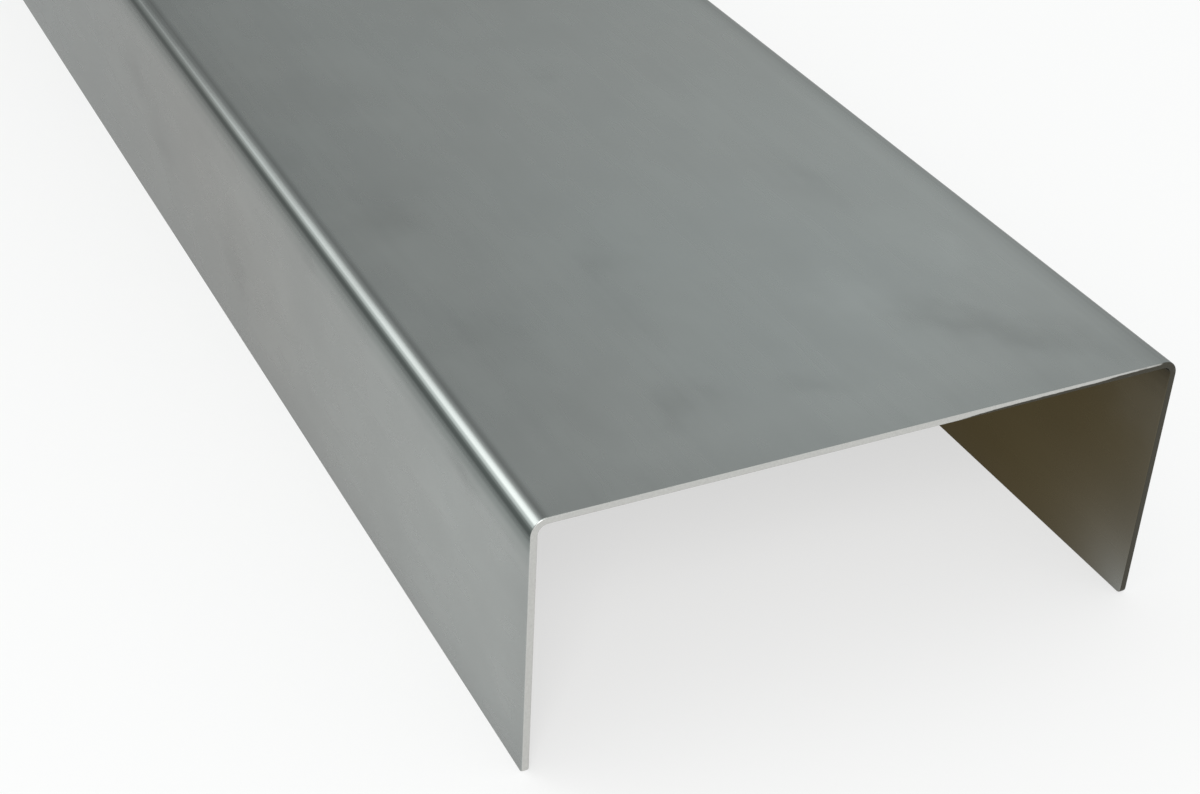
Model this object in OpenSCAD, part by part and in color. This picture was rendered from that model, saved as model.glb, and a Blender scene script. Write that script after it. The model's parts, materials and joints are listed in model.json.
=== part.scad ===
// Folded aluminium U-channel.
//
// One strip of sheet, folded down square along both long sides, so that a wide flat web
// joins two lower flanges. It lies on the free edges of the flanges with its open side down.
//
// X runs along the channel, Y across the web, Z up. The origin is under the middle of the
// channel, level with the free edges. Lengths are in millimetres.

/* [Section] */
// Width over the outer faces of the two flanges
web_width = 152.4; // [80:0.1:300]
// Height from the free edges to the outer face of the web
flange_height = 63.5; // [25:0.1:150]
// Thickness of the sheet
sheet_thickness = 1.6; // [1:0.1:4]
// Radius on the inner side of each fold
inner_bend_radius = 2.2; // [1:0.1:8]

/* [Length] */
// Length between the two cut ends
channel_length = 1219.2; // [200:0.1:3000]

/* [Dressed edges] */
// Radius on the free corners of the flanges at the cut ends
corner_radius = 1.2; // [0.4:0.1:6]
// Radius that breaks the long free edges of the flanges
edge_break = 0.3; // [0.1:0.05:0.45]

/* [Hidden] */
$fn = 96;

// The bend turns the whole thickness, so both of its faces share one centre.
outer_bend_radius = inner_bend_radius + sheet_thickness;
// Clear width between the flanges, and clear height under the web
inside_width = web_width - 2 * sheet_thickness;
inside_height = flange_height - sheet_thickness;
// How far a cutting shape runs past the metal it cuts
overcut = 1;

// Mill-finish sheet
mill_finish = [0.58, 0.60, 0.59];

// Filled outline of an arch with a flat top and two rounded shoulders,
// standing on the line y = bottom.
module shouldered_arch(width, top, shoulder, bottom = 0) {
    translate([-width / 2, bottom])
        square([width, top - shoulder - bottom]);
    translate([shoulder - width / 2, bottom])
        square([width - 2 * shoulder, top - bottom]);
    for (side = [-1, 1])
        translate([side * (width / 2 - shoulder), top - shoulder])
            circle(r = shoulder);
}

// What a round of the given radius takes off a square corner at the origin.
// The metal lies on the side of +x and +y, and the cut runs past it by overcut.
module corner_waste(radius) {
    difference() {
        translate([-overcut, -overcut])
            square(radius + overcut);
        translate([radius, radius])
            circle(r = radius);
    }
}

// Cross-section of the folded sheet, in the plane of its web and flanges.
module section() {
    difference() {
        shouldered_arch(web_width, flange_height, outer_bend_radius);
        shouldered_arch(inside_width, inside_height, inner_bend_radius, -overcut);
        for (side = [-1, 1]) {
            translate([side * web_width / 2, 0])
                mirror([side > 0 ? 1 : 0, 0])
                    corner_waste(edge_break);
            translate([side * inside_width / 2, 0])
                mirror([side < 0 ? 1 : 0, 0])
                    corner_waste(edge_break);
        }
    }
}

// Waste off the free corner of both flanges at one cut end, seen from the side.
module dressed_end(end) {
    translate([end * channel_length / 2, 0, 0])
        mirror([end > 0 ? 1 : 0, 0, 0])
            rotate([90, 0, 0])
                translate([0, 0, -web_width / 2 - overcut])
                    linear_extrude(web_width + 2 * overcut)
                        corner_waste(corner_radius);
}

// The whole channel: the section run along X, with its four free corners dressed.
module channel() {
    color(mill_finish)
        difference() {
            translate([-channel_length / 2, 0, 0])
                rotate([90, 0, 90])
                    linear_extrude(channel_length)
                        section();
            for (end = [-1, 1])
                dressed_end(end);
        }
}

channel();
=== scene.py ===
import json
import math
import bpy
from mathutils import Matrix, Vector


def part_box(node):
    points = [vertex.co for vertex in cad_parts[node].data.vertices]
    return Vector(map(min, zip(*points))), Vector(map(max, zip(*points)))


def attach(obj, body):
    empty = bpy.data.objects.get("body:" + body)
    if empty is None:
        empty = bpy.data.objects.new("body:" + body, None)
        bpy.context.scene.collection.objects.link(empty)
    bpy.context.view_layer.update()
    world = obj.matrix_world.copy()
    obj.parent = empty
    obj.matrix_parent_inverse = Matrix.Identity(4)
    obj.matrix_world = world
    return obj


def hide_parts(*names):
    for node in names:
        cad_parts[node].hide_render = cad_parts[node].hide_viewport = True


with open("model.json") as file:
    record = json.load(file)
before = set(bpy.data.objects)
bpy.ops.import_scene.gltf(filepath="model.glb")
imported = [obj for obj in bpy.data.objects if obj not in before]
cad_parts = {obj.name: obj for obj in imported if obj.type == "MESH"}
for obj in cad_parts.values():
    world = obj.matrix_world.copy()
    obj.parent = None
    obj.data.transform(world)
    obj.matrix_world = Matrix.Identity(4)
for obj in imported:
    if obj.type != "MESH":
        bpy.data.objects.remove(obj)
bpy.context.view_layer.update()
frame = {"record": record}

print("channel: frame loaded")

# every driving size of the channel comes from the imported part
lowCorner, highCorner = (Vector(corner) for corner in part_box("channel"))
faceAt = {mount["name"]: Vector(mount["pos_m"]) for mount in frame["record"]["mounts"]}
channelLength = highCorner.x - lowCorner.x
webWidth = highCorner.y - lowCorner.y
flangeHeight = highCorner.z - lowCorner.z
sheetThickness = faceAt["web_outer_face"].z - faceAt["web_inner_face"].z
quarterTurn = math.pi / 2

camera = {
    "lens": 64.14,           # millimetres on a 36 mm sensor
    "azimuth": 62.06,        # degrees, 0 looks along +Y and 90 along -X
    "elevation": 33.22,
    "roll": 3.29,
    "distance": 0.4336,      # metres from the point it looks at
    "aimFromEnd": 0.0331,    # that point lies on the web, this far in from the cut end
    "aimAside": -0.0456,     # and this far to the side of the middle
    "nearest": 0.01,
    "farthest": 100,
}


def addCamera(view):
    data = bpy.data.cameras.new("camera")
    data.lens = view["lens"]
    data.clip_start = view["nearest"]
    data.clip_end = view["farthest"]
    azimuth, elevation = math.radians(view["azimuth"]), math.radians(view["elevation"])
    back = Vector((math.sin(azimuth) * math.cos(elevation),
                   -math.cos(azimuth) * math.cos(elevation),
                   math.sin(elevation)))
    aim = Vector((highCorner.x - view["aimFromEnd"], view["aimAside"], highCorner.z))
    turn = back.to_track_quat("Z", "Y").to_matrix()
    roll = Matrix.Rotation(math.radians(view["roll"]), 3, "Z")
    obj = bpy.data.objects.new("camera", data)
    obj.matrix_world = Matrix.Translation(aim + back * view["distance"]) @ (turn @ roll).to_4x4()
    bpy.context.scene.collection.objects.link(obj)
    bpy.context.scene.camera = obj


addCamera(camera)
bpy.context.scene.view_settings.view_transform = "Standard"
print("channel: camera placed")


# a value is a plain number or colour, a socket, or a node, which stands for its first output
def addNode(tree, kind, inputs=None, **settings):
    node = tree.nodes.new(kind)
    for name, value in settings.items():
        setattr(node, name, value)
    for key, value in (inputs or {}).items():
        fillSocket(tree, openSocket(node, key), value)
    return node


def openSocket(node, key):
    if isinstance(key, int):
        return node.inputs[key]
    return next(socket for socket in node.inputs if socket.name == key and socket.enabled)


def fillSocket(tree, socket, value):
    if isinstance(value, bpy.types.NodeSocket):
        tree.links.new(value, socket)
    elif isinstance(value, bpy.types.Node):
        tree.links.new(value.outputs[0], socket)
    else:
        socket.default_value = value


def calc(tree, operation, *values):
    return addNode(tree, "ShaderNodeMath", dict(enumerate(values)), operation=operation).outputs[0]


def vectorCalc(tree, operation, *values):
    return addNode(tree, "ShaderNodeVectorMath", dict(enumerate(values)), operation=operation)


def remap(tree, value, fromLow, fromHigh, toLow, toHigh, blend="LINEAR"):
    given = (value, fromLow, fromHigh, toLow, toHigh)
    return addNode(tree, "ShaderNodeMapRange", dict(enumerate(given)),
                   clamp=True, interpolation_type=blend).outputs[0]


def smoothRemap(tree, value, fromLow, fromHigh, toLow, toHigh):
    return remap(tree, value, fromLow, fromHigh, toLow, toHigh, "SMOOTHSTEP")


def splitVector(tree, vector):
    return addNode(tree, "ShaderNodeSeparateXYZ", {0: vector}).outputs


def joinVector(tree, parts):
    return addNode(tree, "ShaderNodeCombineXYZ", parts)


sheet = {
    "foldRadius": 0.0022,    # inner side of each fold
    "edgeBreak": 0.0003,     # long free edges of the flanges
    "endBreak": 0.0002,      # both cut ends, all round
    "cornerRadius": 0.0012,  # free corners of the flanges
    "foldSteps": 20,
    "breakSteps": 3,
    "endSteps": 4,
    "cornerSteps": 10,
    "runSteps": 60,
    "cellWidth": 0.009,      # widest strip across the flat stretches
    "waviness": 0.00018,     # how far the flats dish in
    "waveSize": 0.14,
    "dishShare": 0.4,        # the middle share of the web that dishes in fully
    "cutTurn": 0.6,          # how squarely a face looks along the channel or down to count as cut
}
sizeInputs = ("Length", "Web Width", "Flange Height", "Sheet Thickness", "Fold Radius",
              "Edge Break", "End Break", "Corner Radius", "Cell Width", "Waviness", "Wave Size",
              "Dish Share", "Cut Turn")
countInputs = ("Fold Steps", "Break Steps", "End Steps", "Corner Steps", "Run Steps")
finishInputs = ("Sheet Finish", "Cut Finish")


def addInputs(tree, kind, names):
    for name in names:
        tree.interface.new_socket(name, in_out="INPUT", socket_type=kind)


def setPlace(tree, geometry, key, parts):
    return addNode(tree, "GeometryNodeSetPosition", {
        "Geometry": geometry, key: joinVector(tree, parts)})


def keepValue(tree, geometry, name, value, kind="FLOAT", domain="POINT"):
    return addNode(tree, "GeometryNodeStoreNamedAttribute", {
        "Geometry": geometry, "Name": name, "Value": value}, data_type=kind, domain=domain)


def keptValue(tree, name, kind="FLOAT"):
    return addNode(tree, "GeometryNodeInputNamedAttribute", {"Name": name}, data_type=kind)


# the section is a closed outline of eight corners, rounded one by one
def drawSection(tree, size):
    # corners 0 to 3 are the outer ones and 4 to 7 the inner, 2 to 5 are on the plus side,
    # and the middle two of each four are at the top
    index = addNode(tree, "GeometryNodeInputIndex").outputs[0]
    inner = calc(tree, "GREATER_THAN", index, 3.5)
    plus = calc(tree, "MULTIPLY", calc(tree, "GREATER_THAN", index, 1.5),
                calc(tree, "LESS_THAN", index, 5.5))
    corner = calc(tree, "MODULO", index, 4.0)
    top = calc(tree, "MULTIPLY", calc(tree, "GREATER_THAN", corner, 0.5),
               calc(tree, "LESS_THAN", corner, 2.5))
    inset = calc(tree, "MULTIPLY", inner, size["Sheet Thickness"])
    side = calc(tree, "SUBTRACT", calc(tree, "MULTIPLY", plus, 2.0), 1.0)
    halfWidth = calc(tree, "MULTIPLY", size["Web Width"], 0.5)
    across = calc(tree, "MULTIPLY", side, calc(tree, "SUBTRACT", halfWidth, inset))
    up = calc(tree, "MULTIPLY", top, calc(tree, "SUBTRACT", size["Flange Height"], inset))
    outline = addNode(tree, "GeometryNodeCurvePrimitiveCircle", {"Resolution": 8})
    outline = setPlace(tree, outline, "Position", {"X": across, "Y": up})
    outline = keepValue(tree, outline, "inside", inner)
    outerRadius = calc(tree, "ADD", size["Fold Radius"], size["Sheet Thickness"])
    foldRadius = calc(tree, "SUBTRACT", outerRadius, inset)
    rounding = addNode(tree, "GeometryNodeSwitch", {
        "Switch": top, "False": size["Edge Break"], "True": foldRadius}, input_type="FLOAT")
    steps = addNode(tree, "GeometryNodeSwitch", {
        "Switch": top, "False": size["Break Steps"], "True": size["Fold Steps"]}, input_type="INT")
    outline = addNode(tree, "GeometryNodeFilletCurve", {
        "Curve": outline, "Count": steps, "Radius": rounding}, mode="POLY")

    # the long flats are cut into strips no wider than the cell
    place = addNode(tree, "GeometryNodeInputPosition").outputs[0]
    points = addNode(tree, "GeometryNodeAttributeDomainSize", {"Geometry": outline},
                     component="CURVE")
    nextIndex = calc(tree, "MODULO", calc(tree, "ADD", index, 1.0), points.outputs["Point Count"])
    nextPlace = addNode(tree, "GeometryNodeFieldAtIndex", {"Index": nextIndex, "Value": place},
                        data_type="FLOAT_VECTOR")
    span = vectorCalc(tree, "DISTANCE", nextPlace, place).outputs["Value"]
    cuts = calc(tree, "FLOOR", calc(tree, "DIVIDE", span, size["Cell Width"]))
    outline = addNode(tree, "GeometryNodeSubdivideCurve", {"Curve": outline, "Cuts": cuts})

    # each point remembers which way is out of the metal, and its place along the outline
    heading = addNode(tree, "GeometryNodeInputTangent")
    outward = vectorCalc(tree, "CROSS_PRODUCT", (0.0, 0.0, 1.0), heading)
    outline = keepValue(tree, outline, "outward", outward, "FLOAT_VECTOR")
    along = addNode(tree, "GeometryNodeSplineParameter")
    return keepValue(tree, outline, "girth", along.outputs["Length"])


# stations along the channel crowd at both ends, where the edges and corners are rounded
def placeStations(tree, size):
    index = addNode(tree, "GeometryNodeInputIndex").outputs[0]
    endSteps, endBreak, cornerRadius = size["End Steps"], size["End Break"], size["Corner Radius"]
    cornerStart = calc(tree, "ADD", endSteps, size["Corner Steps"])
    half = calc(tree, "ADD", cornerStart, size["Run Steps"])
    last = calc(tree, "MULTIPLY", half, 2.0)
    station = calc(tree, "MINIMUM", index, calc(tree, "SUBTRACT", last, index))

    def arcDepth(radius, angle):
        return calc(tree, "MULTIPLY", radius,
                    calc(tree, "SUBTRACT", 1.0, calc(tree, "COSINE", angle)))

    endAngle = remap(tree, station, 0.0, endSteps, 0.0, quarterTurn)
    breakShare = calc(tree, "DIVIDE", endBreak, cornerRadius)
    firstAngle = calc(tree, "ARCCOSINE", calc(tree, "SUBTRACT", 1.0, breakShare))
    cornerAngle = remap(tree, station, endSteps, cornerStart, firstAngle, quarterTurn)
    cornerDepth = calc(tree, "SUBTRACT", arcDepth(cornerRadius, cornerAngle), endBreak)
    halfLength = calc(tree, "MULTIPLY", size["Length"], 0.5)
    fullRun = calc(tree, "SUBTRACT", halfLength, cornerRadius)
    run = remap(tree, station, cornerStart, half, 0.0, fullRun)
    depth = calc(tree, "ADD", calc(tree, "ADD", cornerDepth, arcDepth(endBreak, endAngle)), run)
    way = calc(tree, "SIGN", calc(tree, "SUBTRACT", index, half))
    stationAt = calc(tree, "MULTIPLY", way, calc(tree, "SUBTRACT", halfLength, depth))
    spine = addNode(tree, "GeometryNodeCurvePrimitiveLine", {
        "Start": (0.0, 0.0, 0.0), "End": (0.0, 0.0, 1.0)})
    spine = addNode(tree, "GeometryNodeResampleCurve", {
        "Curve": spine, "Count": calc(tree, "ADD", last, 1.0)}, mode="COUNT")
    return setPlace(tree, spine, "Position", {"Z": stationAt})


# swept up the spine, then laid down so that the spine runs along X
def sweepSection(tree, outline, spine):
    body = addNode(tree, "GeometryNodeCurveToMesh", {
        "Curve": spine, "Profile Curve": outline, "Fill Caps": True})
    body = addNode(tree, "GeometryNodeFlipFaces", {"Mesh": body})
    swept = splitVector(tree, addNode(tree, "GeometryNodeInputPosition"))
    return setPlace(tree, body, "Position", {"X": swept["Z"], "Y": swept["X"], "Z": swept["Y"]})


# the cut ends lose their sharp edge, and the free corners their point
def trimEnds(tree, size, body):
    spot = splitVector(tree, addNode(tree, "GeometryNodeInputPosition"))
    halfLength = calc(tree, "MULTIPLY", size["Length"], 0.5)
    fromEnd = calc(tree, "SUBTRACT", halfLength, calc(tree, "ABSOLUTE", spot["X"]))

    def arcDrop(radius):
        reach = calc(tree, "MAXIMUM", calc(tree, "SUBTRACT", radius, fromEnd), 0.0)
        square = calc(tree, "SUBTRACT", calc(tree, "POWER", radius, 2.0),
                      calc(tree, "POWER", reach, 2.0))
        root = calc(tree, "SQRT", calc(tree, "MAXIMUM", square, 0.0))
        return calc(tree, "SUBTRACT", radius, root)

    isFoot = calc(tree, "LESS_THAN", spot["Z"], size["Corner Radius"])
    lift = calc(tree, "MULTIPLY", isFoot, arcDrop(size["Corner Radius"]))
    outward = splitVector(tree, keptValue(tree, "outward", "FLOAT_VECTOR"))
    shrink = calc(tree, "MULTIPLY", arcDrop(size["End Break"]), -1.0)
    trimY = calc(tree, "MULTIPLY", outward["X"], shrink)
    trimZ = calc(tree, "ADD", calc(tree, "MULTIPLY", outward["Y"], shrink), lift)
    return setPlace(tree, body, "Offset", {"Y": trimY, "Z": trimZ})


# the flats dish in a little between the stiff folds, both faces of the sheet together
def dishFlats(tree, size, body):
    place = addNode(tree, "GeometryNodeInputPosition").outputs[0]
    spot = splitVector(tree, place)
    wave = addNode(tree, "ShaderNodeTexNoise", {
        "Vector": place, "Scale": calc(tree, "DIVIDE", 1.0, size["Wave Size"]), "Detail": 1.0})
    dish = calc(tree, "MULTIPLY", wave.outputs[0], size["Waviness"])
    halfWidth = calc(tree, "MULTIPLY", size["Web Width"], 0.5)
    foldReach = calc(tree, "ADD", size["Fold Radius"],
                     calc(tree, "MULTIPLY", size["Sheet Thickness"], 2.0))
    fullTo = calc(tree, "MULTIPLY", halfWidth, size["Dish Share"])
    besideFold = calc(tree, "SUBTRACT", halfWidth, foldReach)
    webShare = remap(tree, calc(tree, "ABSOLUTE", spot["Y"]), fullTo, besideFold, 1.0, 0.0)
    belowFold = calc(tree, "SUBTRACT", size["Flange Height"], foldReach)
    flangeShare = remap(tree, spot["Z"], 0.0, belowFold, 1.0, 0.0)
    inward = calc(tree, "MULTIPLY", calc(tree, "MULTIPLY", dish, flangeShare), -1.0)
    dishY = calc(tree, "MULTIPLY", calc(tree, "SIGN", spot["Y"]), inward)
    dishZ = calc(tree, "MULTIPLY", calc(tree, "MULTIPLY", dish, webShare), -1.0)
    return setPlace(tree, body, "Offset", {"Y": dishY, "Z": dishZ})


def markPlaces(tree, size, body):
    # how far round a fold each point lies: 0 where the flange ends, 1 where the web starts
    spot = splitVector(tree, addNode(tree, "GeometryNodeInputPosition"))
    halfWidth = calc(tree, "MULTIPLY", size["Web Width"], 0.5)
    outerRadius = calc(tree, "ADD", size["Fold Radius"], size["Sheet Thickness"])
    foldY = calc(tree, "SUBTRACT", halfWidth, outerRadius)
    foldZ = calc(tree, "SUBTRACT", size["Flange Height"], outerRadius)
    beyondY = calc(tree, "SUBTRACT", calc(tree, "ABSOLUTE", spot["Y"]), foldY)
    beyondZ = calc(tree, "SUBTRACT", spot["Z"], foldZ)
    foldAngle = calc(tree, "ARCTAN2", calc(tree, "MAXIMUM", beyondZ, 0.0),
                     calc(tree, "MAXIMUM", beyondY, 0.0))
    offFold = calc(tree, "SUBTRACT", calc(tree, "MINIMUM", beyondZ, 0.0),
                   calc(tree, "MINIMUM", beyondY, 0.0))
    foldAngle = calc(tree, "ADD", foldAngle, calc(tree, "DIVIDE", offFold, outerRadius))
    body = keepValue(tree, body, "foldWay", calc(tree, "DIVIDE", foldAngle, quarterTurn))

    # a map along and around the sheet, which gives the rolling its direction
    sheetMap = joinVector(tree, {"X": spot["X"], "Y": keptValue(tree, "girth")})
    return keepValue(tree, body, "sheetMap", sheetMap, "FLOAT2", "CORNER")


# the ends and the feet get the cut finish, everything else the sheet's
def coatFaces(tree, size, body):
    body = addNode(tree, "GeometryNodeSetShadeSmooth", {"Geometry": body})
    spot = splitVector(tree, addNode(tree, "GeometryNodeInputPosition"))
    facing = splitVector(tree, addNode(tree, "GeometryNodeInputNormal"))
    atEnd = calc(tree, "GREATER_THAN", calc(tree, "ABSOLUTE", facing["X"]), size["Cut Turn"])
    down = calc(tree, "LESS_THAN", facing["Z"], calc(tree, "MULTIPLY", size["Cut Turn"], -1.0))
    isFoot = calc(tree, "LESS_THAN", spot["Z"], size["Corner Radius"])
    isCut = calc(tree, "MAXIMUM", atEnd, calc(tree, "MULTIPLY", isFoot, down))
    body = addNode(tree, "GeometryNodeRealizeInstances", {"Geometry": body})
    body = addNode(tree, "GeometryNodeSetMaterial", {
        "Geometry": body, "Material": size["Sheet Finish"]})
    return addNode(tree, "GeometryNodeSetMaterial", {
        "Geometry": body, "Selection": isCut, "Material": size["Cut Finish"]})


def buildSheetTree():
    tree = bpy.data.node_groups.new("foldedSheet", "GeometryNodeTree")
    tree.interface.new_socket("Geometry", in_out="OUTPUT", socket_type="NodeSocketGeometry")
    addInputs(tree, "NodeSocketFloat", sizeInputs)
    addInputs(tree, "NodeSocketInt", countInputs)
    addInputs(tree, "NodeSocketMaterial", finishInputs)
    size = tree.nodes.new("NodeGroupInput").outputs
    body = sweepSection(tree, drawSection(tree, size), placeStations(tree, size))
    body = trimEnds(tree, size, body)
    body = dishFlats(tree, size, body)
    body = markPlaces(tree, size, body)
    body = coatFaces(tree, size, body)
    addNode(tree, "NodeGroupOutput", {0: body})
    return tree


def makeSheet(sizes, sheetFinish, cutFinish):
    tree = buildSheetTree()
    holder = bpy.data.objects.new("sheetHolder", bpy.data.meshes.new("sheetHolder"))
    bpy.context.scene.collection.objects.link(holder)
    modifier = holder.modifiers.new("foldedSheet", "NODES")
    modifier.node_group = tree
    values = {
        "Length": channelLength, "Web Width": webWidth, "Flange Height": flangeHeight,
        "Sheet Thickness": sheetThickness, "Fold Radius": sizes["foldRadius"],
        "Edge Break": sizes["edgeBreak"], "End Break": sizes["endBreak"],
        "Corner Radius": sizes["cornerRadius"], "Cell Width": sizes["cellWidth"],
        "Waviness": sizes["waviness"], "Wave Size": sizes["waveSize"],
        "Dish Share": sizes["dishShare"], "Cut Turn": sizes["cutTurn"],
        "Fold Steps": sizes["foldSteps"], "Break Steps": sizes["breakSteps"],
        "End Steps": sizes["endSteps"], "Corner Steps": sizes["cornerSteps"],
        "Run Steps": sizes["runSteps"], "Sheet Finish": sheetFinish, "Cut Finish": cutFinish,
    }
    sockets = {item.name: item.identifier for item in tree.interface.items_tree}
    for name, value in values.items():
        modifier[sockets[name]] = value
    solved = holder.evaluated_get(bpy.context.evaluated_depsgraph_get())
    mesh = bpy.data.meshes.new_from_object(solved)
    bpy.data.objects.remove(holder)
    piece = bpy.data.objects.new("channelSheet", mesh)
    bpy.context.scene.collection.objects.link(piece)
    return piece


mill = {
    "colour": (0.415, 0.435, 0.425),
    "edgeTint": 0.585,       # how little the shine grows at a flat angle
    "roughness": 0.27,
    "grain": 0.3,            # how strongly the shine stretches across the rolling
    "cloudSize": 0.014,      # soft blotches of oxide
    "cloudStretch": 1.6,
    "cloudDepth": 0.075,
    "cloudRoughness": 0.05,
    "streakLength": 0.4,     # broad bands left by the rolls
    "streakWidth": 0.004,
    "streakDepth": 0.03,
    "streakRoughness": 0.03,
    "lineLength": 0.12,      # fine rolling lines
    "lineWidth": 0.0014,
    "lineDepth": 0.01,
    "lineBump": 0.05,
    "lineHeight": 0.00005,
    "tintSize": 0.05,        # patches a shade warmer or cooler
    "tintDepth": 0.012,
    "tintBlue": 0.4,         # blue loses this share of what red gains
    "smudgeLength": 0.09,    # faint smudges where the stock was carried and stacked
    "smudgeWidth": 0.03,
    "smudgeCover": (0.47, 0.72),  # they deepen while their noise climbs over this range
    "smudgeDepth": 0.12,
    "smudgeFrom": 0.23,      # they set in between these two places along the channel
    "smudgeTo": 0.13,
    "endReach": 0.015,       # the last stretch before each cut is darker
    "endDepth": 0.06,
    "markStray": 0.014,      # how far the outlines of the marks wander
    "markRaggedness": 90.0,
}

# painted dark reflection on the inner faces: a warm dark colour standing in for the dark
# surroundings they reflect
paintedInsideShade = {
    "colour": (0.089, 0.069, 0.032),
    "cornerReach": 0.011,    # it is painted lighter about this far round the free corners, a painted reflection of the bright floor beyond them
    "cornerLift": 0.57,
    "endReach": 0.008,       # and a little along the cut ends
    "endLift": 0.08,
}

# the folds, by the way round them: 0 where the flange ends and 1 where the web starts
folds = {
    "roughness": 0.17,       # the brake polishes the outside of each fold
    "smoothRise": (-0.1, 0.2),
    "smoothFall": (0.8, 1.1),
    "highlightRise": (0.2, 0.4),
    "highlightFall": (0.65, 0.9),
    "highlightFrom": 0.36,      # the painted fold highlight comes up to full between these two places along the channel
    "highlightTo": 0.46,
    "highlightLoss": 0.35,      # and this much of it is painted out before them
    # painted highlight and painted shade across each fold, standing in for the bright and dark
    # things it reflects, as pairs of the way round and the tone there
    "minusPaintedLight": (
        (-1.4, 1.0), (-0.8, 0.91), (-0.33, 0.68), (-0.08, 0.43), (0.10, 0.22), (0.20, 0.24),
        (0.30, 0.46), (0.40, 0.78), (0.50, 1.5), (0.62, 1.8), (0.72, 1.52), (0.86, 1.14),
        (0.98, 0.94), (1.12, 1.0)),
    "minusShadeTint": (0.87, 1.0, 0.968),  # colour of the darkest painted shade
    # the plus Y fold gets painted shade only, darker than the minus Y fold
    "plusPaintedShade": (
        (-1.4, 1.0), (-0.8, 0.93), (-0.33, 0.80), (-0.08, 0.66), (0.10, 0.52), (0.25, 0.46),
        (0.40, 0.48), (0.52, 0.69), (0.66, 0.64), (0.86, 0.82), (1.0, 0.80), (1.15, 0.89),
        (1.5, 0.96), (1.9, 1.0)),
    "plusShadeTint": (1.0, 1.0, 1.0),
}

# rubs and stains, and on the flange also broad painted light and shade: place along the channel,
# place across it, length, width, turn in degrees, and how much lighter (above 0) or darker the
# metal is there
webMarks = (
    (0.582, 0.044, 0.020, 0.0060, 46, -0.11),
    (0.595, 0.060, 0.016, 0.0080, 46, -0.06),
    (0.563, 0.024, 0.011, 0.0080, 0, 0.08),
    (0.551, 0.056, 0.007, 0.0060, 0, 0.05),
    (0.509, 0.044, 0.016, 0.0050, 10, -0.05),
    (0.489, -0.059, 0.008, 0.0090, 20, -0.10),
    (0.526, -0.021, 0.007, 0.0050, 0, -0.07),
    (0.586, -0.034, 0.007, 0.0045, -20, -0.09),
    (0.588, -0.004, 0.004, 0.0060, 0, -0.06),
    (0.582, -0.024, 0.005, 0.0035, 20, -0.06),
    (0.570, -0.058, 0.030, 0.0110, 0, -0.06),
    (0.5435, -0.057, 0.009, 0.0070, 30, -0.06),
    (0.4325, 0.008, 0.003, 0.0030, 0, -0.05),
    (0.605, 0.060, 0.035, 0.0350, 0, -0.07),
    (0.490, -0.060, 0.130, 0.0250, 0, -0.04),
    (0.350, -0.045, 0.080, 0.0450, 0, 0.10),
    (0.560, -0.025, 0.050, 0.0250, 0, -0.03),
)
# on the minus Y flange the second place is the height
flangeStainsAndPaintedLight = (
    (0.345, 0.036, 0.020, 0.0060, 0, -0.07),
    (0.366, 0.026, 0.010, 0.0050, 0, -0.07),
    (0.427, 0.022, 0.014, 0.0065, -15, -0.10),
    (0.430, 0.045, 0.012, 0.0060, 0, 0.05),
    (0.467, 0.036, 0.011, 0.0070, 0, 0.06),
    (0.572, 0.041, 0.012, 0.0080, 0, 0.04),
    (0.578, 0.0545, 0.007, 0.0030, 0, -0.12),
    (0.486, 0.0530, 0.009, 0.0030, 0, -0.07),
    # painted light towards the near end, then painted shade towards the far end and along the foot
    (0.600, 0.030, 0.070, 0.0600, 0, 0.085),
    (0.510, 0.030, 0.070, 0.0450, 0, 0.045),
    (0.370, 0.030, 0.230, 0.0900, 0, -0.07),
    (0.440, 0.000, 0.220, 0.0110, 0, -0.04),
)
# the same columns, for warmer (above 0) or cooler patches, and for gaps in the painted dark
# reflection on the inner faces, by height
webWarmth = ((0.555, 0.015, 0.080, 0.0600, 0, -0.02),)
flangeWarmth = ((0.410, 0.035, 0.110, 0.0600, 0, 0.035),)
insideLighterPatches = ((0.602, 0.050, 0.012, 0.0120, 0, -0.05),)


# noise with its own size along the channel, and the offset keeps two of them from matching
def stretchedNoise(tree, place, length, width, detail, offset=0.0):
    mapping = addNode(tree, "ShaderNodeMapping", {
        "Vector": place, "Location": (offset, offset, offset),
        "Scale": (1 / length, 1 / width, 1 / width)})
    return addNode(tree, "ShaderNodeTexNoise", {
        "Vector": mapping, "Scale": 1.0, "Detail": detail}).outputs[0]


def readValue(tree, name):
    return addNode(tree, "ShaderNodeAttribute", attribute_name=name,
                   attribute_type="GEOMETRY").outputs["Fac"]


# a noise of 0 to 1 turns into one that swings by the depth to either side of 0
def centred(tree, value, depth):
    return calc(tree, "MULTIPLY", calc(tree, "SUBTRACT", value, 0.5), depth * 2)


# 1 between two ranges, which it climbs over the first and drops over the second
def band(tree, value, rise, fall):
    return calc(tree, "MULTIPLY", remap(tree, value, *rise, 0.0, 1.0),
                remap(tree, value, *fall, 1.0, 0.0))


def blendColours(tree, share, first, second):
    return addNode(tree, "ShaderNodeMix", {"Factor": share, "A": first, "B": second},
                   data_type="RGBA").outputs[2]


# the stops of a ramp lie between start and end, and take on the tint as they darken
def fillRamp(ramp, stops, start, end, darkTint=(1.0, 1.0, 1.0)):
    ramp.interpolation = "EASE"
    while len(ramp.elements) < len(stops):
        ramp.elements.new(1.0)
    for stop, (way, level) in zip(ramp.elements, stops):
        stop.position = (way - start) / (end - start)
        dark = max(1.0 - level, 0.0)
        stop.color = (*[level * (1.0 - dark * (1.0 - share)) for share in darkTint], 1)


def shadeByWay(tree, way, stops, darkTint):
    first, last = stops[0][0], stops[-1][0]
    shade = addNode(tree, "ShaderNodeValToRGB", {
        "Fac": remap(tree, way, first, last, 0.0, 1.0)})
    fillRamp(shade.color_ramp, stops, first, last, darkTint)
    return shade.outputs[0]


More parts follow.
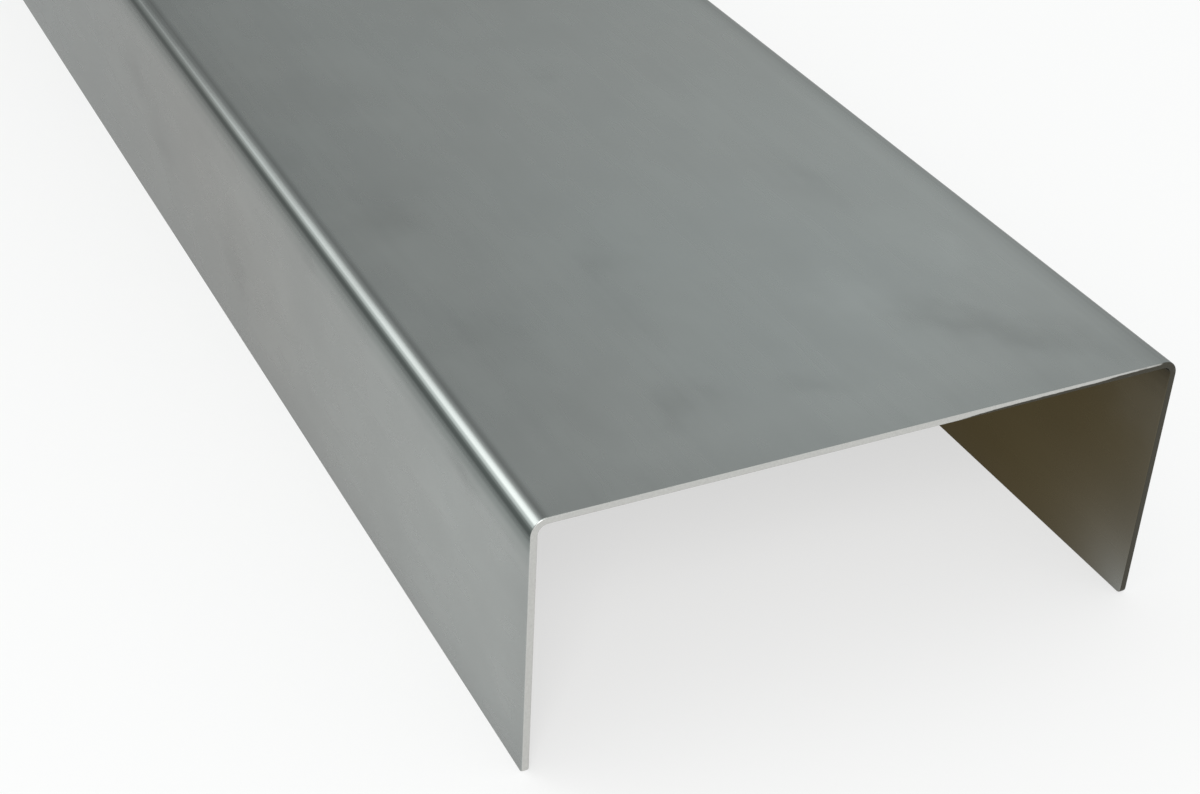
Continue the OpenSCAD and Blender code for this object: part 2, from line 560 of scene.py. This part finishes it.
# each mark is a soft oval, and all of them add up
def addMarks(tree, along, across, marks):
    total = 0.0
    for markAlong, markAcross, length, width, turn, strength in marks:
        fromMark = joinVector(tree, {"X": calc(tree, "SUBTRACT", along, markAlong),
                                     "Y": calc(tree, "SUBTRACT", across, markAcross)})
        oval = addNode(tree, "ShaderNodeMapping", {
            "Vector": fromMark, "Rotation": (0, 0, math.radians(turn)),
            "Scale": (length, width, 1.0)}, vector_type="TEXTURE")
        away = vectorCalc(tree, "DOT_PRODUCT", oval, oval).outputs["Value"]
        cover = calc(tree, "EXPONENT", calc(tree, "MULTIPLY", away, -1.0))
        total = calc(tree, "MULTIPLY_ADD", cover, strength, total)
    return total


# the marks wander with a coarse noise, and each lies on its own side of the sheet only
def findPlaces(tree, look):
    place = addNode(tree, "ShaderNodeTexCoord").outputs["Object"]
    spot = splitVector(tree, place)
    wander = addNode(tree, "ShaderNodeTexNoise", {
        "Vector": place, "Scale": look["markRaggedness"], "Detail": 3.0})
    wander = vectorCalc(tree, "SUBTRACT", wander.outputs["Color"], (0.5, 0.5, 0.5))
    strayed = vectorCalc(tree, "MULTIPLY_ADD", wander, (look["markStray"],) * 3, place)
    return {
        "place": place,
        "spot": spot,
        "strayed": splitVector(tree, strayed),
        "onWeb": calc(tree, "GREATER_THAN", spot["Z"], flangeHeight - sheetThickness / 2),
        "onFlange": calc(tree, "LESS_THAN", spot["Y"], (sheetThickness - webWidth) / 2),
        "foldWay": readValue(tree, "foldWay"),
    }


def markSides(tree, at, value, marksOnWeb, marksOnFlange):
    strayed = at["strayed"]
    webTotal = addMarks(tree, strayed["X"], strayed["Y"], marksOnWeb)
    flangeTotal = addMarks(tree, strayed["X"], strayed["Z"], marksOnFlange)
    value = calc(tree, "MULTIPLY_ADD", at["onWeb"], webTotal, value)
    return calc(tree, "MULTIPLY_ADD", at["onFlange"], flangeTotal, value)


def mixTone(tree, look, bends, at, noise):
    tone = 1.0
    for name in ("cloud", "streak", "line"):
        tone = calc(tree, "ADD", tone, centred(tree, noise[name], look[name + "Depth"]))
    tone = markSides(tree, at, tone, webMarks, flangeStainsAndPaintedLight)
    along = at["spot"]["X"]
    smudge = stretchedNoise(tree, at["place"], look["smudgeLength"], look["smudgeWidth"],
                            detail=3.0, offset=4.3)
    smudge = smoothRemap(tree, smudge, *look["smudgeCover"], 0.0, look["smudgeDepth"])
    reach = smoothRemap(tree, along, look["smudgeTo"], look["smudgeFrom"], 1.0, 0.0)
    tone = calc(tree, "SUBTRACT", tone, calc(tree, "MULTIPLY", smudge, reach))
    endDarkening = smoothRemap(tree, calc(tree, "ABSOLUTE", along),
                          channelLength / 2 - look["endReach"], channelLength / 2,
                          0.0, look["endDepth"])
    tone = calc(tree, "SUBTRACT", tone, endDarkening)
    # the painted fold highlight fades towards the far end
    highlightBand = band(tree, at["foldWay"], bends["highlightRise"], bends["highlightFall"])
    fadeShare = smoothRemap(tree, along, bends["highlightFrom"], bends["highlightTo"],
                       bends["highlightLoss"], 0.0)
    keptHighlight = calc(tree, "SUBTRACT", 1.0, calc(tree, "MULTIPLY", highlightBand, fadeShare))
    return calc(tree, "MULTIPLY", tone, keptHighlight)


# how much of the painted dark reflection covers the metal, on the inside only
def coverInsideShade(tree, look, at):
    fromMiddle = vectorCalc(tree, "ABSOLUTE", at["place"])
    fromCorner = vectorCalc(tree, "DISTANCE", fromMiddle,
                            (channelLength / 2, webWidth / 2, 0.0)).outputs["Value"]
    nearFreeCorner = calc(tree, "EXPONENT", calc(tree, "DIVIDE", fromCorner, -look["cornerReach"]))
    fromEnd = calc(tree, "SUBTRACT", channelLength / 2, calc(tree, "ABSOLUTE", at["spot"]["X"]))
    nearCutEnd = calc(tree, "EXPONENT", calc(tree, "DIVIDE", fromEnd, -look["endReach"]))
    cover = calc(tree, "MULTIPLY_ADD", nearFreeCorner, -look["cornerLift"], 1.0)
    cover = calc(tree, "MULTIPLY_ADD", nearCutEnd, -look["endLift"], cover)
    lighterPatches = addMarks(tree, at["strayed"]["X"], at["strayed"]["Z"], insideLighterPatches)
    cover = calc(tree, "ADD", cover, lighterPatches)
    return calc(tree, "MULTIPLY", readValue(tree, "inside"), cover)


def mixTint(tree, look, at):
    warmth = stretchedNoise(tree, at["place"], look["tintSize"], look["tintSize"],
                            detail=2.0, offset=1.9)
    warmth = centred(tree, warmth, look["tintDepth"])
    warmth = markSides(tree, at, warmth, webWarmth, flangeWarmth)
    blue = calc(tree, "SUBTRACT", 1.0, calc(tree, "MULTIPLY", warmth, look["tintBlue"]))
    return joinVector(tree, {"X": calc(tree, "ADD", 1.0, warmth), "Y": 1.0, "Z": blue})


def millFinish(look, inner, bends):
    finish = bpy.data.materials.new("millSheet")
    finish.use_nodes = True
    tree = finish.node_tree
    shader = tree.nodes["Principled BSDF"]
    at = findPlaces(tree, look)
    place, foldWay = at["place"], at["foldWay"]
    noise = {
        "cloud": stretchedNoise(tree, place, look["cloudSize"] * look["cloudStretch"],
                                look["cloudSize"], detail=3.0),
        "streak": stretchedNoise(tree, place, look["streakLength"], look["streakWidth"],
                                 detail=2.0, offset=3.1),
        "line": stretchedNoise(tree, place, look["lineLength"], look["lineWidth"],
                               detail=1.0, offset=7.7),
    }
    # the inner faces take the painted dark reflection
    metal = blendColours(tree, coverInsideShade(tree, inner, at),
                         (*look["colour"], 1), (*inner["colour"], 1))
    # painted highlight and painted shade across the two folds
    foldLightAndShade = blendColours(
        tree, calc(tree, "GREATER_THAN", at["spot"]["Y"], 0.0),
        shadeByWay(tree, foldWay, bends["minusPaintedLight"], bends["minusShadeTint"]),
        shadeByWay(tree, foldWay, bends["plusPaintedShade"], bends["plusShadeTint"]))
    base = vectorCalc(tree, "MULTIPLY", metal, mixTint(tree, look, at))
    base = vectorCalc(tree, "MULTIPLY", base, foldLightAndShade)
    tone = mixTone(tree, look, bends, at, noise)
    base = addNode(tree, "ShaderNodeVectorMath", {0: base, "Scale": tone}, operation="SCALE")
    fillSocket(tree, shader.inputs["Base Color"], base)
    shader.inputs["Metallic"].default_value = 1.0
    shader.inputs["Specular Tint"].default_value = (*[look["edgeTint"]] * 3, 1)
    shader.inputs["Anisotropic"].default_value = look["grain"]
    onFold = band(tree, foldWay, bends["smoothRise"], bends["smoothFall"])
    rough = remap(tree, onFold, 0.0, 1.0, look["roughness"], bends["roughness"])
    rough = calc(tree, "ADD", rough, centred(tree, noise["cloud"], look["cloudRoughness"]))
    rough = calc(tree, "ADD", rough, centred(tree, noise["streak"], look["streakRoughness"]))
    fillSocket(tree, shader.inputs["Roughness"], rough)
    heading = addNode(tree, "ShaderNodeTangent", direction_type="UV_MAP", uv_map="sheetMap")
    fillSocket(tree, shader.inputs["Tangent"], heading)
    bump = addNode(tree, "ShaderNodeBump", {
        "Strength": look["lineBump"], "Distance": look["lineHeight"], "Height": noise["line"]})
    fillSocket(tree, shader.inputs["Normal"], bump)
    return finish


cutEdge = {
    "colour": (0.55, 0.55, 0.53),         # where the blade pressed the metal smooth
    "tornColour": (0.064, 0.060, 0.047),  # where the rest tore away
    "roughness": 0.42,
    "scoreSize": 0.0005,     # fine scores left by the blade
    "scoreDepth": 0.12,
    "scoreBump": 0.3,
    "scoreHeight": 0.00005,
    # share of the thickness that the blade pressed smooth, by the way from the middle of the
    # web (0) to the plus Y flange (1)
    "cleanShare": ((0.0, 1.0), (0.15, 1.0), (0.45, 0.48), (0.72, 0.38), (0.80, 0.18),
                   (0.92, 0.10), (0.98, 0.0)),
    "cleanGain": 1.4,        # spreads that share past both faces, so that 0 and 1 are whole
    "cleanStart": -0.12,
    "tearSize": 0.002,       # how ragged the line between the two is
    "tearDepth": 0.15,
    "tearSoftness": 0.1,
}


def cutFinish(look):
    finish = bpy.data.materials.new("shearedEdge")
    finish.use_nodes = True
    tree = finish.node_tree
    shader = tree.nodes["Principled BSDF"]
    place = addNode(tree, "ShaderNodeTexCoord").outputs["Object"]
    score = stretchedNoise(tree, place, look["scoreSize"], look["scoreSize"], detail=2.0)
    tone = calc(tree, "ADD", 1.0, centred(tree, score, look["scoreDepth"]))
    across = calc(tree, "DIVIDE", splitVector(tree, place)["Y"], webWidth / 2)
    share = addNode(tree, "ShaderNodeValToRGB", {"Fac": across})
    fillRamp(share.color_ramp, look["cleanShare"], 0.0, 1.0)
    ragged = stretchedNoise(tree, place, look["tearSize"], look["tearSize"],
                            detail=2.0, offset=5.3)
    clean = calc(tree, "MULTIPLY_ADD", share, look["cleanGain"], look["cleanStart"])
    clean = calc(tree, "ADD", clean, centred(tree, ragged, look["tearDepth"]))
    beyond = calc(tree, "SUBTRACT", readValue(tree, "inside"), clean)
    torn = smoothRemap(tree, beyond, -look["tearSoftness"], look["tearSoftness"], 0.0, 1.0)
    metal = blendColours(tree, torn, (*look["colour"], 1), (*look["tornColour"], 1))
    base = addNode(tree, "ShaderNodeVectorMath", {0: metal, "Scale": tone}, operation="SCALE")
    fillSocket(tree, shader.inputs["Base Color"], base)
    shader.inputs["Metallic"].default_value = 1.0
    shader.inputs["Roughness"].default_value = look["roughness"]
    bump = addNode(tree, "ShaderNodeBump", {
        "Strength": look["scoreBump"], "Distance": look["scoreHeight"], "Height": score})
    fillSocket(tree, shader.inputs["Normal"], bump)
    return finish


channelSheet = makeSheet(sheet, millFinish(mill, paintedInsideShade, folds), cutFinish(cutEdge))
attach(channelSheet, "root")
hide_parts("channel")
print("channel: folded sheet made,", len(channelSheet.data.polygons), "faces")


stage = {
    "floorSize": 30.0,
    "floorColour": (0.93, 0.93, 0.925),
    "floorRoughness": 0.9,
    "floorShine": 0.1,
    "floorGlow": 0.6,        # how far the floor is lifted towards plain white
    "skyTint": (0.985, 1.01, 1.005),
    "skyDim": 0.28,          # on the side that the channel points to, away from the near end
    "skyBright": 0.82,       # everywhere else
    "plusRise": (0.0, 0.6),  # towards plus Y the sky brightens over this range,
    "highRise": (0.4, 0.65),  # and a little less so from this height on
    "highShare": 0.7,
    # the other bright sides: their axis, where the light sets in, and where it is full
    "brightSides": (("Y", -0.5, -0.9), ("X", -0.1, 0.6), ("Z", 0.8, 1.0), ("Z", 0.32, 0.08)),
    "glow": 1.5,             # a soft bright patch that the fold catches
    "glowAzimuth": 42.0,     # degrees, from -X towards -Y
    "glowElevation": 30.0,
    "glowWidth": 8.5,
    "glowHeight": 21.0,
    "lampOffset": (2.8, -1.4, 2.4),  # metres from the near end of the web
    "lampSize": 2.0,
    "lampPower": 76,
}


def layFloor(look):
    half = look["floorSize"] / 2
    corners = [(-half, -half, 0), (half, -half, 0), (half, half, 0), (-half, half, 0)]
    mesh = bpy.data.meshes.new("floor")
    mesh.from_pydata(corners, [], [(0, 1, 2, 3)])
    paint = bpy.data.materials.new("floorPaint")
    paint.use_nodes = True
    tree = paint.node_tree
    shader = tree.nodes["Principled BSDF"]
    shader.inputs["Base Color"].default_value = (*look["floorColour"], 1)
    shader.inputs["Roughness"].default_value = look["floorRoughness"]
    shader.inputs["Specular IOR Level"].default_value = look["floorShine"]
    white = addNode(tree, "ShaderNodeEmission", {"Color": (1, 1, 1, 1), "Strength": 1.0})
    ray = addNode(tree, "ShaderNodeLightPath").outputs
    seen = calc(tree, "MAXIMUM", ray["Is Camera Ray"],
                calc(tree, "MAXIMUM", ray["Is Glossy Ray"], ray["Is Transmission Ray"]))
    lifted = addNode(tree, "ShaderNodeMixShader", {
        0: calc(tree, "MULTIPLY", seen, look["floorGlow"]), 1: shader, 2: white})
    fillSocket(tree, tree.nodes["Material Output"].inputs["Surface"], lifted)
    mesh.materials.append(paint)
    floor = bpy.data.objects.new("floor", mesh)
    bpy.context.scene.collection.objects.link(floor)


def paintSky(look):
    world = bpy.data.worlds.new("studio")
    bpy.context.scene.world = world
    world.use_nodes = True
    tree = world.node_tree
    way = addNode(tree, "ShaderNodeTexCoord").outputs["Generated"]
    part = splitVector(tree, way)
    bright = calc(tree, "MULTIPLY", smoothRemap(tree, part["Y"], *look["plusRise"], 0.0, 1.0),
                  smoothRemap(tree, part["Z"], *look["highRise"], 1.0, look["highShare"]))
    for axis, start, full in look["brightSides"]:
        bright = calc(tree, "MAXIMUM", bright,
                      smoothRemap(tree, part[axis], start, full, 0.0, 1.0))
    level = remap(tree, bright, 0.0, 1.0, look["skyDim"], look["skyBright"])

    # the patch is a soft oval, found after the sky is turned to put it straight ahead along -X
    ahead = splitVector(tree, addNode(tree, "ShaderNodeVectorRotate", {
        "Vector": way, "Angle": -math.radians(look["glowAzimuth"])}, rotation_type="Z_AXIS"))
    offSide = calc(tree, "DIVIDE", ahead["Y"], math.sin(math.radians(look["glowWidth"])))
    offUp = calc(tree, "SUBTRACT", ahead["Z"], math.sin(math.radians(look["glowElevation"])))
    offUp = calc(tree, "DIVIDE", offUp, math.sin(math.radians(look["glowHeight"])))
    away = calc(tree, "ADD", calc(tree, "MULTIPLY", offSide, offSide),
                calc(tree, "MULTIPLY", offUp, offUp))
    patch = calc(tree, "EXPONENT", calc(tree, "MULTIPLY", away, -0.5))
    patch = calc(tree, "MULTIPLY", patch, calc(tree, "LESS_THAN", ahead["X"], 0.0))
    level = calc(tree, "MULTIPLY_ADD", patch, look["glow"], level)
    sky = addNode(tree, "ShaderNodeVectorMath", {0: look["skyTint"], "Scale": level},
                  operation="SCALE")
    fillSocket(tree, tree.nodes["Background"].inputs["Color"], sky)


# a square soft lamp, which faces the near end of the web
def hangLamp(look):
    light = bpy.data.lights.new("keyLight", "AREA")
    light.shape = "RECTANGLE"
    light.size = look["lampSize"]
    light.size_y = look["lampSize"]
    light.energy = look["lampPower"]
    nearEnd = Vector((highCorner.x, 0, highCorner.z))
    place = nearEnd + Vector(look["lampOffset"])
    turn = (place - nearEnd).to_track_quat("Z", "Y").to_matrix().to_4x4()
    lamp = bpy.data.objects.new("keyLight", light)
    lamp.matrix_world = Matrix.Translation(place) @ turn
    bpy.context.scene.collection.objects.link(lamp)


layFloor(stage)
paintSky(stage)
hangLamp(stage)
print("channel: stage set")
